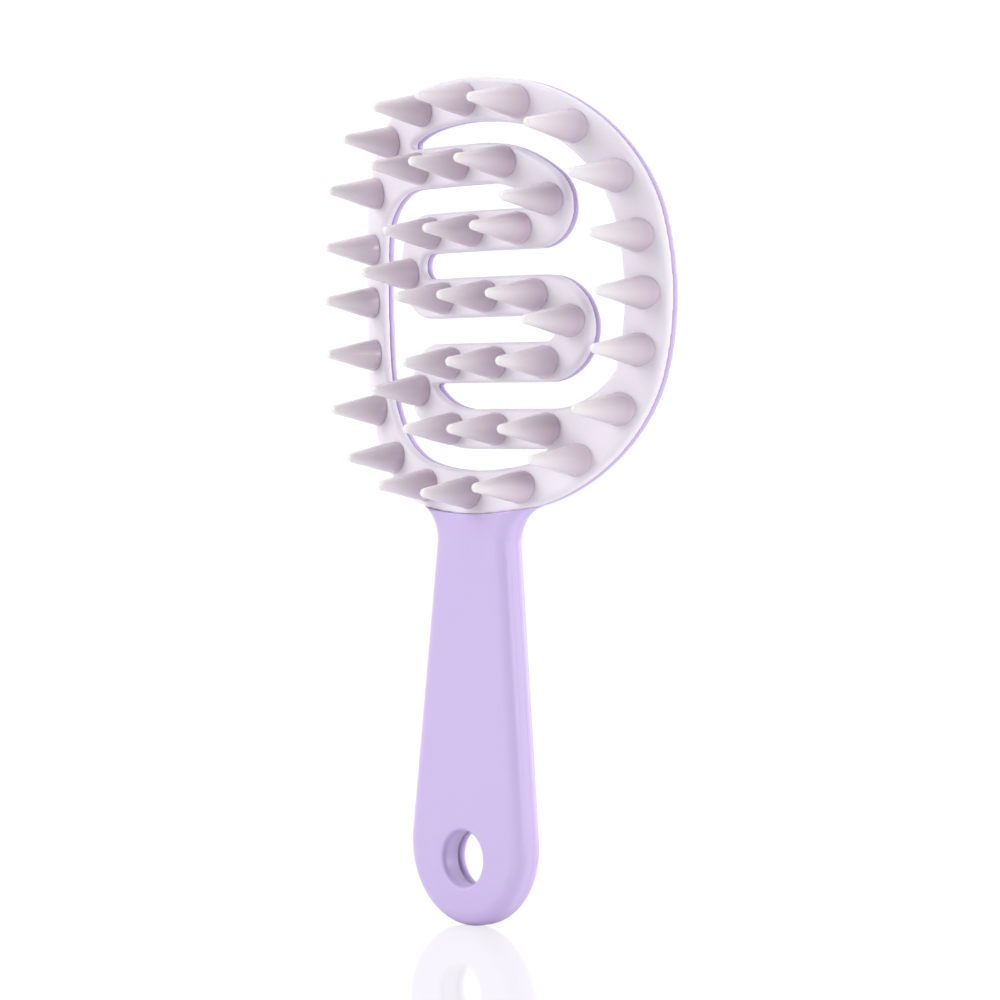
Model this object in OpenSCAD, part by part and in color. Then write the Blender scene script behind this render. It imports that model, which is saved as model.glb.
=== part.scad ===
// Vented brush with soft conical teeth: a purple frame and handle, a pale soft pad and 39 teeth.
// Millimetres. +Z runs from the handle up to the head, +X is to the right seen from the teeth,
// the teeth point along -Y. The origin is the middle of the hang hole.
// The head is drawn flat in its own frame (x across, y up the brush, z out along the teeth)
// and put in place by in_head().

/* [Ring] */
// Half width of the ring's centre line, across and along
ring_half = 46.9; // [40:0.1:56]
// Radius of the ring's four long sides, on the centre line
ring_side_r = 90; // [70:1:150]
// Radius of the ring's four corners, on the centre line
ring_corner_r = 36; // [20:1:44]
// Width of the ring's rim
rim_w = 10.4; // [8:0.1:14]

/* [Weave] */
// Width of the woven bars
bar_w = 9.6; // [7:0.1:12]
// Distance between the middles of two bars
bar_pitch = 15.85; // [13:0.05:20]
// Sideways shift of the weave inside the ring
weave_x = 1.0; // [-3:0.1:3]
// Distance from the weave's middle to the middle of its two inner turns
inner_turn_x = 19.7; // [15:0.1:24]
// Distance from the weave's middle to the middle of its two end turns
end_turn_x = 17.2; // [13:0.1:22]
// Radius of the tight end turns, on the centre line
end_turn_r = 5.4; // [5:0.1:7]
// Where the weave's first and last bar begin to bend into their end turns
bend_start_x = 3; // [-5:0.1:8]
// Place of the tooth on a turn, in degrees
turn_dir = 12; // [-20:1:30]
// Radius of the corners where the weave runs into the ring
join_r = 20.2; // [15:0.1:24]
// Distance of the join's end from the ring's middle
join_x = 22.9; // [18:0.1:26]
// Radius that rounds the end of a thin slot
slot_end_r = 1.1; // [0.6:0.1:2]

/* [Curve of the head] */
// Radius of the curve across the head, hollow side to the back
cross_r = 133; // [100:0.5:220]
// Radius of the curve along the head, hollow side to the teeth
long_r = 339; // [250:1:600]
// Distance from the ring's middle down to the lowest point of the long curve
low_point = 7.0; // [0:0.1:20]
// Thickness of the soft pad
pad_t = 2.7; // [2:0.1:4]
// Thickness of the hard frame behind it
frame_t = 1.7; // [1.2:0.1:4]

/* [Teeth] */
// Height of a tooth above the pad
tooth_h = 15.85; // [10:0.1:24]
// Radius of a tooth at its foot
tooth_r = 4.0; // [2.5:0.1:4.5]
// Radius of the round tip
tip_r = 1.2; // [0.8:0.1:2]
// Radius of the root that goes through the pad
root_r = 2.4; // [1.5:0.1:3.5]
// Clearance around the root in the pad
root_gap = 0.03; // [0.01:0.01:0.2]
// Number of teeth on the ring
ring_teeth = 20; // [12:2:24]
// Shift of the ring teeth toward the corners, in degrees
corner_shift = 3.2; // [0:0.1:5]
// Distance between two teeth on a bar
bar_tooth_pitch = 15.3; // [12:0.1:20]
// First tooth of each bar, from the weave's middle
bar_first = [-20.9, -17.4, -13.3, -10.2, -9.0];

/* [Handle] */
// Distance from the hang hole to the ring's middle
head_rise = 134.9; // [110:0.1:160]
// How far the pad's lowest point lies behind the handle's front
head_set_back = 2.5; // [1:0.1:5]
// Lean of the head against the handle, in degrees
head_lean = 1.0; // [0:0.1:5]
// Half width of the handle at the neck
neck_half = 12; // [9:0.1:16]
// Radius of the handle's round end
end_r = 19.5; // [15:0.1:26]
// Distance from the hang hole up to the middle of the round end
end_up = 3.3; // [0:0.1:8]
// Thickness of the handle
handle_t = 8; // [6:0.1:14]
// Depth of the front cover
cover_t = 5; // [3:0.1:6]
// Wall of the hollow handle
wall = 1.8; // [1.2:0.1:3]
// Radius of the hang hole
hole_r = 6.75; // [4:0.05:9]
// Wall of the sleeve around the hang hole
sleeve_wall = 2; // [1.2:0.1:3]
// Radius of the fillet between the neck and the ring
neck_fillet = 9; // [4:0.1:12]
// Height of the lip that locates the cover
lip_h = 1.2; // [0.6:0.1:2]
// Thickness of that lip
lip_t = 1.0; // [0.6:0.1:1.6]
// Clearance between the lip and the cover
lip_gap = 0.12; // [0.05:0.01:0.3]
// Clearance between the pad's edge and the cover
pad_gap = 0.15; // [0.05:0.05:0.4]
// Length of the ramp from the handle's back to the frame
ramp_len = 14; // [8:0.5:20]

/* [Show] */
// Sub-part to draw

/* [Hidden] */
$fn = 96;
purple = [0.80, 0.71, 0.92];
pale = [0.93, 0.91, 0.95];
pearl = [0.88, 0.85, 0.87];
// Margin that carries a cut past a face
past = 1;
// Degrees between two points of an arc in an outline
arc_step = 6;
// Fineness and span of the head's curved layers
layer_fn = 480;
layer_span = 30;
// Fineness of a slot's tiny round end
slot_fn = 12;
total_t = pad_t + frame_t;
// The head's own frame reaches this far to each side and to each face
reach = ring_half + rim_w;
deep = 40;
rows = len(bar_first);
row_teeth = 3;
turn_teeth = 4;
tooth_count = ring_teeth + rows * row_teeth + turn_teeth;

function tooth_name(i) = str("tooth_", i < 10 ? "0" : "", i);

// The corner's middle lies on the diagonal, where side and corner arcs touch.
function side_c() = ring_half - ring_side_r;
function arc_gap() = ring_side_r - ring_corner_r;
function corner_mid() = (side_c() + sqrt(2 * arc_gap() * arc_gap() - side_c() * side_c())) / 2;
function corner_angle() = asin(corner_mid() / arc_gap());

// Height of the curved face above its lowest point, for a place on the head
function cross_drop(x) = cross_r - sqrt(cross_r * cross_r - x * x);
function face_z(x, y) = long_r
    - sqrt(pow(long_r + cross_drop(x), 2) - pow(y + low_point, 2));

// Distance from the ring's middle to its centre line, for a direction measured from the top
function ring_reach(a) =
    let (b = abs(((a + 45) % 90 + 90) % 90 - 45))
    b < corner_angle_seen()
        ? side_c() * cos(b) + sqrt(pow(ring_side_r, 2) - pow(side_c() * sin(b), 2))
        : corner_reach(b);
function corner_angle_seen() =
    atan2(ring_side_r * sin(corner_angle()), side_c() + ring_side_r * cos(corner_angle()));
function corner_reach(b) =
    let (m = corner_mid() * (cos(b) + sin(b)), q = corner_mid() * (cos(b) - sin(b)))
    m + sqrt(ring_corner_r * ring_corner_r - q * q);

// Places of the teeth: around the ring, then bar by bar, then in the turns
function ring_tooth_dir(i) =
    let (a = 360 * i / ring_teeth) a + corner_shift * sin(2 * a);
function ring_place(i) =
    let (a = ring_tooth_dir(i), r = ring_reach(a)) [r * sin(a), r * cos(a)];
function bar_y(row) = bar_pitch * ((rows - 1) / 2 - row);
function bar_place(row, k) = [weave_x + bar_first[row] + k * bar_tooth_pitch, bar_y(row)];

// The end turn and the long bend before it touch, which sets the bend's radius.
end_turn_y = bar_pitch + end_turn_r;
first_bar_y = 2 * bar_pitch;
bend_dx = end_turn_x - bend_start_x;
bend_h = first_bar_y - end_turn_y;
bend_r = (bend_dx * bend_dx + bend_h * bend_h - end_turn_r * end_turn_r)
    / (2 * (bend_h - end_turn_r));
bend_y = first_bar_y - bend_r;
bend_dir = atan2(end_turn_y - bend_y, bend_dx);
inner_turn_r = bar_pitch / 2;

function turn_mid(k) = k == 0 ? [end_turn_x, end_turn_y] : k == 1 ? [-inner_turn_x, inner_turn_r]
    : k == 2 ? [inner_turn_x, -inner_turn_r] : [-end_turn_x, -end_turn_y];
function turn_place(k) =
    let (side = k % 2 == 0 ? 1 : -1, r = k % 3 == 0 ? end_turn_r : inner_turn_r)
    [weave_x, 0] + turn_mid(k) + side * r * [cos(turn_dir), sin(turn_dir)];
function place(i) =
    i <= ring_teeth ? ring_place(i - 1)
    : i <= ring_teeth + rows * row_teeth
        ? bar_place(floor((i - ring_teeth - 1) / row_teeth), (i - ring_teeth - 1) % row_teeth)
    : turn_place(i - ring_teeth - rows * row_teeth - 1);

// Flat outlines on the head. An arc's last point is left out where the next arc starts on it.
function arc(mid, r, from, to, last = true) =
    let (n = ceil(abs(to - from) / arc_step))
    [for (k = [0 : last ? n : n - 1])
        let (a = from + (to - from) * k / n) mid + r * [cos(a), sin(a)]];
function turned(points, q) =
    [for (p = points) [p.x * cos(q) - p.y * sin(q), p.x * sin(q) + p.y * cos(q)]];
function reversed(points) = [for (k = [len(points) - 1 : -1 : 0]) points[k]];

function ring_points(d) =
    let (m = corner_mid(), c = corner_angle(),
         quarter = concat(arc([side_c(), 0], ring_side_r + d, -c, c, false),
                          arc([m, m], ring_corner_r + d, c, 90 - c, false)))
    [for (q = [0 : 90 : 270]) each turned(quarter, q)];

// One side of the weave, from its first bar to its last, at a distance d left of its centre line
function weave_side(d) = concat(
    [[-join_x - weave_x - past, first_bar_y + d]],
    arc([bend_start_x, bend_y], bend_r + d, 90, bend_dir, false),
    arc([end_turn_x, end_turn_y], end_turn_r + d, bend_dir, -90),
    arc([-inner_turn_x, inner_turn_r], inner_turn_r - d, 90, 270),
    arc([inner_turn_x, -inner_turn_r], inner_turn_r + d, 90, -90),
    arc([-end_turn_x, -end_turn_y], end_turn_r - d, 90, 180 + bend_dir, false),
    arc([-bend_start_x, -bend_y], bend_r - d, 180 + bend_dir, 270),
    [[join_x - weave_x + past, -first_bar_y + d]]);

module weave()
    polygon(concat(weave_side(bar_w / 2), reversed(weave_side(-bar_w / 2))));

// The weave's first bar runs into the ring through a large corner, and so does its last bar.
module join_corner() {
    edge = first_bar_y - bar_w / 2;
    difference() {
        intersection() {
            polygon(ring_points(0));
            polygon(concat(arc([-join_x, edge - join_r], join_r, 90, 180),
                           [[-reach, edge - join_r], [-reach, reach], [-join_x, reach]]));
        }
        translate([-join_x, edge + bar_w + slot_end_r]) circle(slot_end_r, $fn = slot_fn);
    }
}

module ring()
    difference() {
        polygon(ring_points(rim_w / 2));
        polygon(ring_points(-rim_w / 2));
    }

module lattice() {
    linear_extrude(2 * deep) ring();
    for (turn = [0, 180]) rotate(turn) linear_extrude(2 * deep) join_corner();
    translate([weave_x, 0]) linear_extrude(2 * deep) weave();
}

// The curved layer between two depths below the pad's face
module layer(top, bottom)
    translate([0, -low_point, long_r])
        rotate([0, 90, 0]) rotate([0, 0, -layer_span / 2])
            rotate_extrude(angle = layer_span, $fn = layer_fn)
                intersection() {
                    translate([long_r + cross_r, 0]) difference() {
                        circle(cross_r - top, $fn = layer_fn);
                        circle(cross_r - bottom, $fn = layer_fn);
                    }
                    translate([long_r - deep, -reach]) square([3 * deep, 2 * reach]);
                }

module in_head()
    translate([0, head_set_back - handle_t / 2, head_rise])
        rotate([90 + head_lean, 0, 0])
            children();

module lattice_layer(top, bottom)
    intersection() {
        layer(top, bottom);
        translate([0, 0, -deep]) lattice();
    }

// The handle's plan, x across and y up: a straight taper that touches the round end
neck_z = head_rise - side_c() - sqrt(pow(ring_side_r + rim_w / 2 + neck_fillet, 2)
    - pow(neck_half + neck_fillet, 2));
neck_to_end = neck_z - end_up;
taper = asin(end_r / norm([neck_half, neck_to_end])) - atan2(neck_half, neck_to_end);
// Where the neck's fillet touches the ring
flare_share = (ring_side_r + rim_w / 2) / (ring_side_r + rim_w / 2 + neck_fillet);
flare_x = (neck_half + neck_fillet) * flare_share;
flare_rise = head_rise - side_c() - neck_z;
flare_dir = 180 - atan2(flare_rise, neck_half + neck_fillet);
flare_z = neck_z + flare_rise * (1 - flare_share);
function half_at(z, d) = neck_half + (neck_z - z) * tan(taper) - d / cos(taper);

// The right side from the end up, then the left side down. The pocket stops below the neck.
function right_side(d) =
    arc([0, end_up], end_r - d, -90, taper);
function neck_side(top) = concat(
    arc([neck_half + neck_fillet, neck_z], neck_fillet, 180, flare_dir),
    [[flare_x, top]]);
function mirrored(points) = [for (p = reversed(points)) [-p.x, p.y]];

module taper_plan(d) {
    side = concat(right_side(d), [[half_at(neck_z - d, d), neck_z - d]]);
    polygon(concat(side, [for (k = [0 : len(side) - 2]) mirrored(side)[k]]));
}

module handle_plan(top) {
    side = concat(right_side(0), neck_side(top));
    polygon(concat(side, [for (k = [0 : len(side) - 2]) mirrored(side)[k]]));
}

module neck_plan(top) {
    side = neck_side(top);
    polygon(concat(side, mirrored(side)));
}

// A plate between two depths, counted from the handle's middle to the back
module plate(from, to)
    translate([0, to, 0]) rotate([90, 0, 0]) linear_extrude(to - from) children();

front = -handle_t / 2;
back = handle_t / 2;
seam = front + cover_t;
// The neck reaches this far up behind the ring's lower rim
neck_top = flare_z + rim_w;
// Depth where the neck carries the pad's lower rim
neck_face = seam - frame_t;

module hang_hole()
    rotate([90, 0, 0]) cylinder(h = 2 * deep, r = hole_r, center = true);

// The space of the pad and all in front of it, inside the ring's outer edge
module pad_space(gap)
    in_head() intersection() {
        layer(-deep / 2, pad_t);
        translate([0, -side_c(), -deep]) cylinder(h = 2 * deep, r = ring_side_r + rim_w / 2 + gap);
    }

module under_ring(gap)
    in_head() translate([0, -side_c(), -deep])
        cylinder(h = 2 * deep, r = ring_side_r + rim_w / 2 + gap);

module ramp()
    translate([0, back, neck_top - ramp_len])
        rotate([atan2(seam - back + frame_t, ramp_len), 0, 0])
            translate([-deep, 0, 0]) cube([2 * deep, deep, deep]);

module back_frame() color(purple)
    difference() {
        union() {
            in_head() lattice_layer(pad_t, total_t);
            plate(seam, back) handle_plan(neck_top);
            plate(seam - lip_h, seam) taper_plan(wall + lip_gap);
            intersection() {
                plate(neck_face, back) neck_plan(neck_top);
                under_ring(0);
            }
        }
        difference() {
            plate(seam - lip_h - past, back - wall) taper_plan(wall + lip_gap + lip_t);
            plate(seam, back) circle(hole_r + sleeve_wall);
        }
        hang_hole();
        ramp();
        pad_space(0);
    }

module handle_cover() color(purple)
    difference() {
        plate(front, seam) handle_plan(neck_top);
        difference() {
            plate(front + wall, seam + past) taper_plan(wall);
            plate(front, seam) circle(hole_r + sleeve_wall);
        }
        hang_hole();
        under_ring(pad_gap);
    }

module root(r, from, to)
    translate([0, 0, from]) cylinder(h = to - from, r = r);

module tooth_pad() color(pale)
    in_head() difference() {
        lattice_layer(0, pad_t);
        for (i = [1 : tooth_count])
            translate([place(i).x, place(i).y, face_z(place(i).x, place(i).y)])
                root(root_r + root_gap, -2 * total_t, total_t);
    }

module tooth(i) color(pearl)
    in_head() {
        foot = [place(i).x, place(i).y, face_z(place(i).x, place(i).y)];
        slope = (tooth_r - tip_r) / (tooth_h - tip_r);
        difference() {
            translate(foot) {
                translate([0, 0, tooth_h - tip_r]) sphere(tip_r);
                translate([0, 0, -pad_t])
                    cylinder(h = tooth_h - tip_r + pad_t, r1 = tooth_r + pad_t * slope, r2 = tip_r);
            }
            layer(0, deep / 2);
        }
        intersection() {
            translate(foot) root(root_r, -2 * total_t, tip_r);
            layer(-deep / 2, pad_t);
        }
    }

back_frame();
handle_cover();
tooth_pad();
for (i = [1 : tooth_count])
    tooth(i);
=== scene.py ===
import math

import bmesh
import bpy
from mathutils import Matrix, Vector


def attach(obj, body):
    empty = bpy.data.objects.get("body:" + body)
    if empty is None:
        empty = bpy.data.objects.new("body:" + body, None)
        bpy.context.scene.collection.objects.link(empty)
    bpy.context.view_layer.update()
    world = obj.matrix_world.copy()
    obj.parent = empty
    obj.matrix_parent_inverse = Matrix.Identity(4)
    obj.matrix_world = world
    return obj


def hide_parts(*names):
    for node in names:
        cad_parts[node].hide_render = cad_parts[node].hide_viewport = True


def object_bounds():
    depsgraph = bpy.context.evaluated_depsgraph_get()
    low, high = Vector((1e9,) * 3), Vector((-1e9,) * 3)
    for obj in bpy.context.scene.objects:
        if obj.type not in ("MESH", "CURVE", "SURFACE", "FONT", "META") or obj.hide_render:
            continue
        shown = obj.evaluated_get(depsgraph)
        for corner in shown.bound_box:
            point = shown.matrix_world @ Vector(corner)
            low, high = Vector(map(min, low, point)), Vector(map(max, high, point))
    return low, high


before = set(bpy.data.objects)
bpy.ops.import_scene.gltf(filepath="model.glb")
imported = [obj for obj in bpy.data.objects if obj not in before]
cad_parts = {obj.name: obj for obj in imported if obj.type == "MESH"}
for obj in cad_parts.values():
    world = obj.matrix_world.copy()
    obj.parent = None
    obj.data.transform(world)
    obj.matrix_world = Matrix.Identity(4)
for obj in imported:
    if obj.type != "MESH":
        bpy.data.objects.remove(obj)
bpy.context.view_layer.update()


# ---- Soft pad --------------------------------------------------------------------------------
# The pale pad is an open sheet of soft plastic, a round-cornered ring with a bar woven back and
# forth inside it. It is moulded onto the hard lattice behind it, and its front edges are rounded.
# It is drawn flat in millimetres, then curved like a saddle and leaned against the handle.

mm = 0.001
ring_half = 46.9
ring_side_r = 90.0
ring_corner_r = 36.0
rim_w = 10.4
bar_w = 9.6
bar_pitch = 15.85
weave_x = 1.0
inner_turn_x = 19.7
end_turn_x = 17.2
end_turn_r = 5.4
bend_start_x = 3.0
join_r = 20.2
join_x = 22.9
cross_r = 133.0
long_r = 339.0
low_point = 7.0
head_rise = 134.9
head_set_back = 2.5
head_lean = math.radians(1.0)
handle_t = 8.0
pad_t = 2.7
pad_edge = 1.0
round_steps = 5


def face_z(x, y):
    drop = cross_r - math.sqrt(cross_r**2 - x**2)
    return long_r - math.sqrt((long_r + drop) ** 2 - (y + low_point) ** 2)


def on_head(x, y, z):
    """A place on the flat drawing, z in front of the pad's face, put onto the leaned saddle."""
    out = z + face_z(x, y)
    c, s = math.cos(head_lean), math.sin(head_lean)
    depth = head_set_back - handle_t / 2 - y * s - out * c
    return (x * mm, depth * mm, (head_rise + y * c - out * s) * mm)


def arc(cx, cy, r, start, stop, step=3.0):
    """Points and their left-hand directions along a round stretch, with the angles in degrees."""
    count = max(2, math.ceil(abs(stop - start) / step))
    points = []
    for k in range(count + 1):
        a = math.radians(start + (stop - start) * k / count)
        side = 1 if stop < start else -1
        u, v = math.cos(a), math.sin(a)
        points.append((cx + r * u, cy + r * v, side * u, side * v))
    return points


def straight(x0, x1, y, step=2.5):
    count = math.ceil(abs(x1 - x0) / step)
    side = 1 if x1 > x0 else -1
    return [(x0 + (x1 - x0) * k / count, y, 0.0, float(side)) for k in range(1, count)]


side_c = ring_half - ring_side_r
gap = ring_side_r - ring_corner_r
corner_c = (side_c + math.sqrt(2 * gap**2 - side_c**2)) / 2
corner_a = math.degrees(math.asin(corner_c / gap))


def ring_path():
    quarter = arc(side_c, 0, ring_side_r, corner_a, -corner_a, 2.0)[:-1]
    quarter += arc(corner_c, -corner_c, ring_corner_r, -corner_a, corner_a - 90)[:-1]
    path = []
    for turn in range(4):
        a = -math.radians(90 * turn)
        c, s = math.cos(a), math.sin(a)
        path += [(x * c - y * s, x * s + y * c, u * c - v * s, u * s + v * c)
                 for x, y, u, v in quarter]
    return path


first_bar_y = 2 * bar_pitch
end_turn_y = bar_pitch + end_turn_r
bend_dx = end_turn_x - bend_start_x
bend_h = first_bar_y - end_turn_y
bend_r = (bend_dx**2 + bend_h**2 - end_turn_r**2) / (2 * (bend_h - end_turn_r))
bend_y = first_bar_y - bend_r
bend_dir = math.degrees(math.atan2(end_turn_y - bend_y, bend_dx))
inner_turn_r = bar_pitch / 2
tuck = 8.0


def weave_path():
    """The woven bar's centre line from the upper left to the lower right."""
    half = [(-join_x - weave_x - tuck, first_bar_y, 0.0, 1.0)]
    half += straight(-join_x - weave_x - tuck, bend_start_x, first_bar_y)
    half += arc(bend_start_x, bend_y, bend_r, 90, bend_dir)[:-1]
    half += arc(end_turn_x, end_turn_y, end_turn_r, bend_dir, -90, 5.0)
    half += straight(end_turn_x, -inner_turn_x, bar_pitch)
    half += arc(-inner_turn_x, inner_turn_r, inner_turn_r, 90, 270, 5.0)
    half += straight(-inner_turn_x, 0, 0.0)
    back = [(-x, -y, u, v) for x, y, u, v in reversed(half)]
    path = half + [(0.0, 0.0, 0.0, 1.0)] + back
    return [(x + weave_x, y, u, v) for x, y, u, v in path]


def front_profile(half_w, edge, depth, steps=round_steps):
    """The cross-section from the back of one wall, over the rounded front, to the other wall."""
    profile = [(-half_w, -depth), (-half_w, -edge)]
    for k in range(1, steps + 1):
        a = math.pi / 2 * k / steps
        profile.append((-half_w + edge * (1 - math.cos(a)), -edge * (1 - math.sin(a))))
    flat = half_w - edge
    profile += [(flat * t, 0.0) for t in (-0.5, 0.0, 0.5)]
    profile += [(-u, z) for u, z in reversed(profile[: steps + 2])]
    return profile


def face_outward(mesh):
    shape = bmesh.new()
    shape.from_mesh(mesh)
    bmesh.ops.recalc_face_normals(shape, faces=shape.faces)
    shape.to_mesh(mesh)
    shape.free()


def bands(rows, n):
    """Faces between stacked closed rows of n points."""
    return [(i * n + k, i * n + (k + 1) % n, (i + 1) * n + (k + 1) % n, (i + 1) * n + k)
            for i in range(rows - 1) for k in range(n)]


def make_piece(name, vertices, faces, paint, slot, *nodes):
    mesh = bpy.data.meshes.new(name)
    mesh.from_pydata(vertices, [], faces)
    mesh.validate()
    face_outward(mesh)
    mesh.shade_smooth()
    piece = bpy.data.objects.new(name, mesh)
    bpy.context.scene.collection.objects.link(piece)
    mesh.materials.append(paint)
    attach(piece, "root")
    if nodes:
        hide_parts(*nodes)
    return piece


def sweep(path, profile, closed):
    """The cross-section carried along a centre line; plus is left of travel."""
    vertices = [(x + u * s, y + v * s, z) for x, y, u, v in path for s, z in profile]
    n, m = len(profile), len(path)
    faces = []
    for i in range(m if closed else m - 1):
        j = (i + 1) % m
        for k in range(n):
            q = (k + 1) % n
            faces.append((i * n + k, j * n + k, j * n + q, i * n + q))
    if not closed:
        faces.append(tuple(range(n)))
        faces.append(tuple(reversed(range((m - 1) * n, m * n))))
    return vertices, faces


ray_count = 24
ray_step = 0.2


def join_corner(turn, edge, depth, top=0.0, towards=1):
    """The plate where an end of the bar runs into the ring, in rays from a corner's middle."""
    mid_y = first_bar_y - bar_w / 2 - join_r
    profile = [(0.0, -depth), (0.0, -edge)]
    for k in range(1, round_steps + 1):
        a = math.pi / 2 * k / round_steps
        profile.append((edge * (1 - math.cos(a)), -edge * (1 - math.sin(a))))
    rays = []
    for k in range(ray_count + 1):
        a = math.radians(90 + 90 * k / ray_count)
        u, v = math.cos(a), math.sin(a)
        far = 0.0
        while ring_inside(-join_x + (join_r + far) * u, mid_y + (join_r + far) * v):
            far += ray_step
        line = list(profile) + [(edge + (far - edge) * t, 0.0) for t in (0.25, 0.5, 0.75, 1.0)]
        line += [(far, -depth)]
        rays.append([(-join_x + (join_r + r) * u, mid_y + (join_r + r) * v, z) for r, z in line])
    vertices = [(x * turn, y * turn, z * towards + top) for ray in rays for x, y, z in ray]
    n = len(rays[0])
    faces = [(i * n + k, (i + 1) * n + k, (i + 1) * n + (k + 1) % n, i * n + (k + 1) % n)
             for i in range(len(rays) - 1) for k in range(n)]
    faces += [tuple(range(n)), tuple(reversed(range((len(rays) - 1) * n, len(rays) * n)))]
    return vertices, faces


def ring_inside(x, y):
    """True inside the ring's centre line."""
    x, y = abs(x), abs(y)
    if x > corner_c and y > corner_c:
        if math.hypot(x - corner_c, y - corner_c) > ring_corner_r:
            return False
    return math.hypot(x - side_c, y) < ring_side_r and math.hypot(x, y - side_c) < ring_side_r


def joined(*parts):
    vertices, faces = [], []
    for more, their in parts:
        start = len(vertices)
        vertices += more
        faces += [tuple(start + k for k in face) for face in their]
    return vertices, faces


cell = 0.4
soften_steps = 7


def fused(vertices, faces):
    """Melts overlapping flat solids into one skin of small cells and puts it on the head."""
    mesh = bpy.data.meshes.new("flat")
    mesh.from_pydata(vertices, [], faces)
    face_outward(mesh)
    flat = bpy.data.objects.new("flat", mesh)
    bpy.context.scene.collection.objects.link(flat)
    melt = flat.modifiers.new("melt", "REMESH")
    melt.mode = "VOXEL"
    melt.voxel_size = cell
    soften = flat.modifiers.new("soften", "SMOOTH")
    soften.factor = 0.5
    soften.iterations = soften_steps
    bpy.context.view_layer.update()
    settled = flat.evaluated_get(bpy.context.evaluated_depsgraph_get())
    shape = bpy.data.meshes.new_from_object(settled)
    skin = [on_head(*v.co) for v in shape.vertices], [tuple(f.vertices) for f in shape.polygons]
    bpy.data.objects.remove(flat)
    return skin


cloud_scale = 35.0
grain_scale = 2600.0
grain_depth = 0.0002
gloss_swing = 0.04


def plastic(name, colour, deep, rough, grain=0.02, through=0.0, tint=(1, 1, 1), scale=0.003):
    """Moulded plastic: two close tones in soft clouds, a faint grain and an uneven gloss."""
    paint = bpy.data.materials.new(name)
    paint.use_nodes = True
    nodes, links = paint.node_tree.nodes, paint.node_tree.links
    shader = nodes["Principled BSDF"]
    where = nodes.new("ShaderNodeTexCoord")
    clouds = nodes.new("ShaderNodeTexNoise")
    clouds.inputs["Scale"].default_value = cloud_scale
    clouds.inputs["Detail"].default_value = 3.0
    links.new(where.outputs["Object"], clouds.inputs["Vector"])
    tone = nodes.new("ShaderNodeMix")
    tone.data_type = "RGBA"
    tone.inputs["A"].default_value = (*colour, 1)
    tone.inputs["B"].default_value = (*deep, 1)
    links.new(clouds.outputs["Fac"], tone.inputs["Factor"])
    links.new(tone.outputs["Result"], shader.inputs["Base Color"])
    gloss = nodes.new("ShaderNodeMapRange")
    gloss.inputs["To Min"].default_value = rough - gloss_swing
    gloss.inputs["To Max"].default_value = rough + gloss_swing
    links.new(clouds.outputs["Fac"], gloss.inputs["Value"])
    links.new(gloss.outputs["Result"], shader.inputs["Roughness"])
    specks = nodes.new("ShaderNodeTexNoise")
    specks.inputs["Scale"].default_value = grain_scale
    specks.inputs["Detail"].default_value = 2.0
    links.new(where.outputs["Object"], specks.inputs["Vector"])
    bump = nodes.new("ShaderNodeBump")
    bump.inputs["Strength"].default_value = grain
    bump.inputs["Distance"].default_value = grain_depth
    links.new(specks.outputs["Fac"], bump.inputs["Height"])
    links.new(bump.outputs["Normal"], shader.inputs["Normal"])
    shader.inputs["Subsurface Weight"].default_value = through
    shader.inputs["Subsurface Radius"].default_value = tint
    shader.inputs["Subsurface Scale"].default_value = scale
    return paint


pad_plastic = plastic("pale_pad", (0.84, 0.79, 0.86), (0.81, 0.76, 0.84), 0.42, 0.05)
rim = front_profile(rim_w / 2, pad_edge, pad_t)
bar = front_profile(bar_w / 2, pad_edge, pad_t)
# Over the neck the ring's outer edge is square, so the handle's top meets it without a groove.
neck_turn = 10.5
sill_in = rim_w / 2 - 2
sill_out = rim_w / 2 + 0.1
sill = [(sill_in, -pad_t), (sill_in, 0.0), (sill_out, 0.0), (sill_out, -pad_t)]
pad_shape = joined(
    sweep(ring_path(), rim, True),
    sweep(weave_path(), bar, False),
    sweep(arc(0, -side_c, ring_side_r, neck_turn - 90, -neck_turn - 90), sill, False),
    join_corner(1, pad_edge, pad_t),
    join_corner(-1, pad_edge, pad_t),
)
make_piece("tooth_pad_soft", *fused(*pad_shape), pad_plastic, "pad_plastic", "tooth_pad")


# ---- Teeth -----------------------------------------------------------------------------------
# Soft cones with round tips, 20 round the ring and 19 along the woven bar. Each one narrows a
# little at its foot, so a fine line shows where it meets the pad. All of them point the same way.

tooth_h = 15.85
tooth_r = 4.0
tip_r = 1.2
root_h = 0.5
foot_steps = ((0.25, 0.05), (0.08, 0.3), (0.05, 0.7))
foot_curve_h = 2.0
swell = 0.12
swell_h = 9.0
ring_teeth = 20
place_step = 0.02
corner_shift = 3.2
bar_tooth_pitch = 15.3
bar_first = (-20.9, -17.4, -13.3, -10.2, -9.0)
row_teeth = 3
turn_dir = math.radians(12)


def ring_place(i):
    a = 2 * math.pi * i / ring_teeth
    a += math.radians(corner_shift) * math.sin(2 * a)
    reach = 0.0
    while ring_inside(reach * math.sin(a), reach * math.cos(a)):
        reach += place_step
    return reach * math.sin(a), reach * math.cos(a)


def turn_place(cx, cy, r, side):
    return weave_x + cx + side * r * math.cos(turn_dir), cy + side * r * math.sin(turn_dir)


places = [ring_place(i) for i in range(ring_teeth)]
for row, first in enumerate(bar_first):
    places += [(weave_x + first + k * bar_tooth_pitch, (2 - row) * bar_pitch)
               for k in range(row_teeth)]
places += [
    turn_place(end_turn_x, end_turn_y, end_turn_r, 1),
    turn_place(-inner_turn_x, inner_turn_r, inner_turn_r, -1),
    turn_place(inner_turn_x, -inner_turn_r, inner_turn_r, 1),
    turn_place(-end_turn_x, -end_turn_y, end_turn_r, -1),
]


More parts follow.
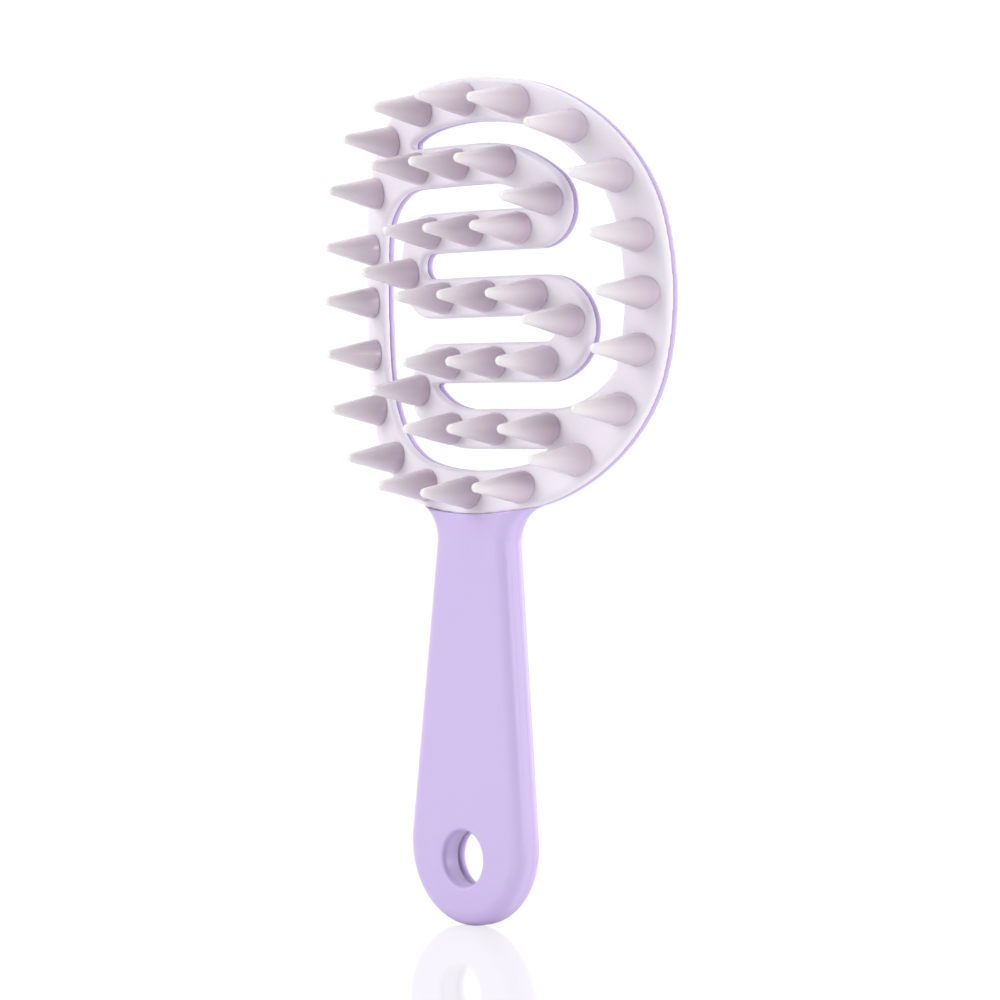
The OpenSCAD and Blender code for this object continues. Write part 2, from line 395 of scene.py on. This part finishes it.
def tooth_profile():
    """Radius and height from below the foot to the tip."""
    slope = (tooth_r - tip_r) / (tooth_h - tip_r)
    profile = [(tooth_r - foot_steps[0][0], -root_h)]
    profile += [(tooth_r - inset, z) for inset, z in foot_steps]
    start = foot_steps[-1][1]
    top = tooth_h - tip_r
    for k in range(1, 11):
        z = start + (top - start) * k / 10
        fuller = swell * math.sin(math.pi * min(1.0, z / swell_h))
        profile.append((tooth_r - slope * z + fuller, z))
    for k in range(1, 7):
        a = math.pi / 2 * k / 6
        profile.append((tip_r * math.cos(a), top + tip_r * math.sin(a)))
    return profile


def paint_tip_light_root_shade(paint, painted_tip_light):
    """Painted light and shade along a tooth: its tone rises toward the tip, which stands clear in
    the light, and falls toward the root, which is painted shade between neighbouring teeth.

    The measure along the tooth is 0 at the tip, which faces the front, and 1 at the root."""
    nodes, links = paint.node_tree.nodes, paint.node_tree.links
    shader = nodes["Principled BSDF"]
    body = shader.inputs["Base Color"].links[0].from_socket
    where = nodes.new("ShaderNodeTexCoord")
    split = nodes.new("ShaderNodeSeparateXYZ")
    links.new(where.outputs["Generated"], split.inputs["Vector"])
    along = nodes.new("ShaderNodeMapRange")
    along.inputs["From Min"].default_value = 0.0
    along.inputs["From Max"].default_value = 0.85
    links.new(split.outputs["Y"], along.inputs["Value"])
    blend = nodes.new("ShaderNodeMix")
    blend.data_type = "RGBA"
    blend.inputs["A"].default_value = (*painted_tip_light, 1)
    links.new(along.outputs["Result"], blend.inputs["Factor"])
    links.new(body, blend.inputs["B"])
    links.new(blend.outputs["Result"], shader.inputs["Base Color"])


# The teeth's mauve body tone, which the roots keep, is their own colour darkened with painted
# shade from the neighbouring teeth; the pale tip tone is painted light.
tooth_plastic = plastic("soft_tooth", (0.60, 0.50, 0.59), (0.57, 0.47, 0.56), 0.24, grain=0.02,
                        through=0.2, tint=(1.0, 0.75, 0.8), scale=0.002)
paint_tip_light_root_shade(tooth_plastic, (0.88, 0.84, 0.85))
around = 40
for number, (px, py) in enumerate(places, start=1):
    profile = tooth_profile()
    foot = face_z(px, py)
    vertices = []
    for r, z in profile:
        grip = max(0.0, 1 - max(z, 0.0) / foot_curve_h)
        for k in range(around):
            a = 2 * math.pi * k / around
            x, y = px + r * math.cos(a), py + r * math.sin(a)
            lift = (foot - face_z(x, y)) * (1 - grip)
            vertices.append(on_head(x, y, z + lift))
    name = f"tooth_{number:02d}"
    make_piece(f"{name}_soft", vertices, bands(len(profile), around), tooth_plastic,
               "tooth_plastic", name)


# ---- Hard lattice ----------------------------------------------------------------------------
# The purple backing of the head, the same open shape as the pad, moulded in one with the neck and
# the rear of the handle. Its back edges are rounded.

frame_t = 1.7
frame_edge = 0.4

purple_plastic = plastic("purple_satin", (0.62, 0.50, 0.81), (0.59, 0.47, 0.78), 0.38, 0.04)


def backed(half_w):
    """The pad's cross-section turned over and set behind the pad."""
    return [(u, -pad_t - frame_t - z) for u, z in front_profile(half_w, frame_edge, frame_t)]


lattice_shape = joined(
    sweep(ring_path(), backed(rim_w / 2), True),
    sweep(weave_path(), backed(bar_w / 2), False),
    join_corner(1, frame_edge, frame_t, -pad_t - frame_t, -1),
    join_corner(-1, frame_edge, frame_t, -pad_t - frame_t, -1),
)
make_piece("head_lattice", *fused(*lattice_shape), purple_plastic, "handle_plastic", "back_frame")


# ---- Handle ----------------------------------------------------------------------------------
# Two satin shells meet in a fine seam round the side, and only their outside is drawn. They taper
# from a round end up to the neck, which flares into the ring. A hang hole with rounded rims goes
# through both.

neck_half = 12.0
end_r = 19.5
end_up = 3.3
cover_t = 5.0
neck_fillet = 9.0
front_edge = 3.3
back_edge = 2.2
face_inset = 0.5
seam_edge = 0.06
top_edge = 0.08
rear_reach = 3
hole_r = 6.75
hole_rim = 1.0
rim_steps = 6
cutter_spare = 1
end_steps = 30
side_steps = 16
fillet_steps = 10
top_steps = 12

ring_out = ring_side_r + rim_w / 2
ring_mid_z = head_rise - side_c
neck_z = ring_mid_z - math.sqrt((ring_out + neck_fillet) ** 2 - (neck_half + neck_fillet) ** 2)
neck_to_end = neck_z - end_up
taper = math.asin(end_r / math.hypot(neck_half, neck_to_end)) - math.atan2(neck_half, neck_to_end)


def right_outline(inset, ring_r):
    """The handle's right half from the middle of the end up to the middle of the neck's top."""
    r = end_r - inset
    points = []
    for k in range(end_steps + 1):
        a = -math.pi / 2 + (taper + math.pi / 2) * k / end_steps
        points.append((r * math.cos(a), end_up + r * math.sin(a)))
    x0, z0 = points[-1]
    x1, z1 = neck_half - inset, neck_z
    for k in range(1, side_steps):
        points.append((x0 + (x1 - x0) * k / side_steps, z0 + (z1 - z0) * k / side_steps))
    fx, fr, rr = neck_half + neck_fillet, neck_fillet + inset, ring_r + min(inset, top_edge)
    apart = math.hypot(fx, ring_mid_z - neck_z)
    along = (fr**2 - rr**2 + apart**2) / (2 * apart)
    towards = math.atan2(ring_mid_z - neck_z, -fx)
    meet = towards + math.acos(max(-1.0, min(1.0, along / fr)))
    for k in range(fillet_steps + 1):
        a = math.pi + (meet - math.pi) * k / fillet_steps
        points.append((fx + fr * math.cos(a), neck_z + fr * math.sin(a)))
    tip_x = points[-1][0]
    for k in range(1, top_steps + 1):
        x = tip_x * (1 - k / top_steps)
        points.append((x, ring_mid_z - math.sqrt(rr**2 - x**2)))
    return points


def shell(layers, ring_r):
    """A solid from stacked outlines, each with its depth behind the middle and its inset."""
    vertices = []
    for depth, inset in layers:
        right = right_outline(inset, ring_r)
        left = [(-x, z) for x, z in reversed(right[1:-1])]
        vertices += [(x * mm, depth * mm, z * mm) for x, z in right + left]
    n = len(vertices) // len(layers)
    faces = bands(len(layers), n)
    faces += [tuple(reversed(range(n))), tuple(range((len(layers) - 1) * n, len(layers) * n))]
    return vertices, faces


def rounded(depth, towards, edge, steps=6):
    """Outlines that round off a shell's edge: towards is -1 for the front, 1 for the back."""
    return [(depth - towards * edge * (1 - math.sin(math.pi / 2 * k / steps)),
             edge * (1 - math.cos(math.pi / 2 * k / steps))) for k in range(steps + 1)]


front = -handle_t / 2
back = handle_t / 2
seam = front + cover_t
cover_layers = [(front, front_edge + face_inset)]
cover_layers += list(reversed(rounded(front, -1, front_edge, 9)))
cover_layers += rounded(seam, 1, seam_edge, 2)
rear_layers = list(reversed(rounded(seam, -1, seam_edge, 2)))
rear_layers += rounded(back, 1, back_edge) + [(back, back_edge + face_inset)]


def cut_hang_hole(piece):
    """Cuts the hole with its rounded rims out of a shell."""
    profile = [(0.0, front - cutter_spare)]
    profile.append((hole_r + hole_rim + cutter_spare, front - cutter_spare))
    for k in range(rim_steps + 1):
        a = math.pi / 2 * k / rim_steps
        out, down = hole_rim * (1 - math.sin(a)), hole_rim * (1 - math.cos(a))
        profile.append((hole_r + out, front + down))
    profile += [(r, -d) for r, d in reversed(profile)]
    vertices = []
    turns = 96
    for r, d in profile[1:-1]:
        for k in range(turns):
            a = 2 * math.pi * k / turns
            vertices.append((r * math.cos(a) * mm, d * mm, r * math.sin(a) * mm))
    rings = len(profile) - 2
    faces = bands(rings, turns)
    faces += [tuple(reversed(range(turns))), tuple(range((rings - 1) * turns, rings * turns))]
    mesh = bpy.data.meshes.new("hole_cutter")
    mesh.from_pydata(vertices, [], faces)
    face_outward(mesh)
    mesh.shade_smooth()
    cutter = bpy.data.objects.new("hole_cutter", mesh)
    bpy.context.scene.collection.objects.link(cutter)
    cut = piece.modifiers.new("hole", "BOOLEAN")
    cut.object = cutter
    cut.operation = "DIFFERENCE"
    cut.solver = "EXACT"
    even = piece.modifiers.new("even", "WEIGHTED_NORMAL")
    even.weight = 100
    bpy.context.view_layer.update()
    settled = piece.evaluated_get(bpy.context.evaluated_depsgraph_get())
    shape = bpy.data.meshes.new_from_object(settled)
    piece.modifiers.clear()
    piece.data = shape
    bpy.data.objects.remove(cutter)


cover = make_piece("handle_front", *shell(cover_layers, ring_out), purple_plastic,
                   "handle_plastic", "handle_cover")
cut_hang_hole(cover)
rear = make_piece("handle_rear", *shell(rear_layers, ring_out - rear_reach), purple_plastic,
                  "handle_plastic", "back_frame")
cut_hang_hole(rear)


# ---- Floor, light and camera -----------------------------------------------------------------
# The brush stands upright on a glossy white floor in front of plain white, in soft light.

low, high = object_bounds()
floor_mesh = bpy.data.meshes.new("floor")
reach = 60.0
floor_mesh.from_pydata([(-reach, -reach, low[2]), (reach, -reach, low[2]),
                        (reach, reach, low[2]), (-reach, reach, low[2])], [], [(0, 1, 2, 3)])
floor = bpy.data.objects.new("floor", floor_mesh)
bpy.context.scene.collection.objects.link(floor)
# The floor shows plain white with a faint reflection, and lights the brush as white board does.
board = bpy.data.materials.new("white_floor")
board.use_nodes = True
nodes, links = board.node_tree.nodes, board.node_tree.links
nodes.remove(nodes["Principled BSDF"])
seen = nodes.new("ShaderNodeLightPath")
matt = nodes.new("ShaderNodeBsdfDiffuse")
matt.inputs["Color"].default_value = (0.85, 0.85, 0.86, 1)
shine = nodes.new("ShaderNodeEmission")
shine.inputs["Strength"].default_value = 1.12
mirror = nodes.new("ShaderNodeBsdfGlossy")
mirror.inputs["Roughness"].default_value = 0.08
glossy = nodes.new("ShaderNodeMixShader")
glossy.inputs["Fac"].default_value = 0.3
links.new(shine.outputs["Emission"], glossy.inputs[1])
links.new(mirror.outputs["BSDF"], glossy.inputs[2])
either = nodes.new("ShaderNodeMixShader")
links.new(seen.outputs["Is Camera Ray"], either.inputs["Fac"])
links.new(matt.outputs["BSDF"], either.inputs[1])
links.new(glossy.outputs["Shader"], either.inputs[2])
links.new(either.outputs["Shader"], nodes["Material Output"].inputs["Surface"])
floor_mesh.materials.append(board)

# The room is bright behind the brush and dim toward the camera stands.
world = bpy.data.worlds.new("white_room")
world.use_nodes = True
sky, sky_links = world.node_tree.nodes, world.node_tree.links
glow = sky["Background"]
toward = sky.new("ShaderNodeTexCoord")
facing = sky.new("ShaderNodeVectorMath")
facing.operation = "DOT_PRODUCT"
facing.inputs[1].default_value = (-0.8, 0.6, 0.1)
sky_links.new(toward.outputs["Generated"], facing.inputs[0])
level = sky.new("ShaderNodeMapRange")
level.inputs["From Min"].default_value = -0.8
level.inputs["From Max"].default_value = 0.6
level.inputs["To Min"].default_value = 0.12
level.inputs["To Max"].default_value = 1.0
sky_links.new(facing.outputs["Value"], level.inputs["Value"])
sky_links.new(level.outputs["Result"], glow.inputs["Strength"])
paper = sky.new("ShaderNodeBackground")
paper.inputs["Color"].default_value = (1, 1, 1, 1)
paper.inputs["Strength"].default_value = 1.05
glow.inputs["Color"].default_value = (1, 1, 1, 1)
direct = sky.new("ShaderNodeLightPath")
shown = sky.new("ShaderNodeMixShader")
sky_links.new(direct.outputs["Is Camera Ray"], shown.inputs["Fac"])
sky_links.new(glow.outputs["Background"], shown.inputs[1])
sky_links.new(paper.outputs["Background"], shown.inputs[2])
sky_links.new(shown.outputs["Shader"], sky["World Output"].inputs["Surface"])
bpy.context.scene.world = world


middle = Vector((0.0, 0.0, 0.09))


def soft_light(name, place, spread, power):
    """A wide distant light aimed at the brush, with its spread in degrees."""
    light = bpy.data.lights.new(name, "SUN")
    light.angle = math.radians(spread)
    light.energy = power
    lamp = bpy.data.objects.new(name, light)
    lamp.location = place
    lamp.rotation_euler = (middle - Vector(place)).to_track_quat("-Z", "Y").to_euler()
    bpy.context.scene.collection.objects.link(lamp)


soft_light("ceiling", (-0.1, -0.1, 1.2), 50, 0.85)
soft_light("left_softbox", (-0.45, -1.0, 0.5), 35, 1.22)
soft_light("right_softbox", (1.0, 0.1, 0.3), 22, 1.1)
soft_light("rim_light", (0.45, 1.0, 0.2), 30, 1.1)

camera_data = bpy.data.cameras.new("camera")
camera_data.lens = 115.34
camera_data.sensor_width = 36.0
camera_data.clip_start = 0.01
camera = bpy.data.objects.new("camera", camera_data)
looking = Vector((-0.7193, 0.6946, -0.01098)).normalized()
camera.location = Vector((557.6, -531.48, 94.64)) * mm
upright = Vector((-0.0179, -0.00275, 0.9998))
right = looking.cross(upright).normalized()
upright = right.cross(looking)
camera.matrix_world = Matrix((
    (right.x, upright.x, -looking.x, camera.location.x),
    (right.y, upright.y, -looking.y, camera.location.y),
    (right.z, upright.z, -looking.z, camera.location.z),
    (0, 0, 0, 1)))
bpy.context.scene.collection.objects.link(camera)
bpy.context.scene.camera = camera
bpy.context.scene.view_settings.view_transform = "Standard"
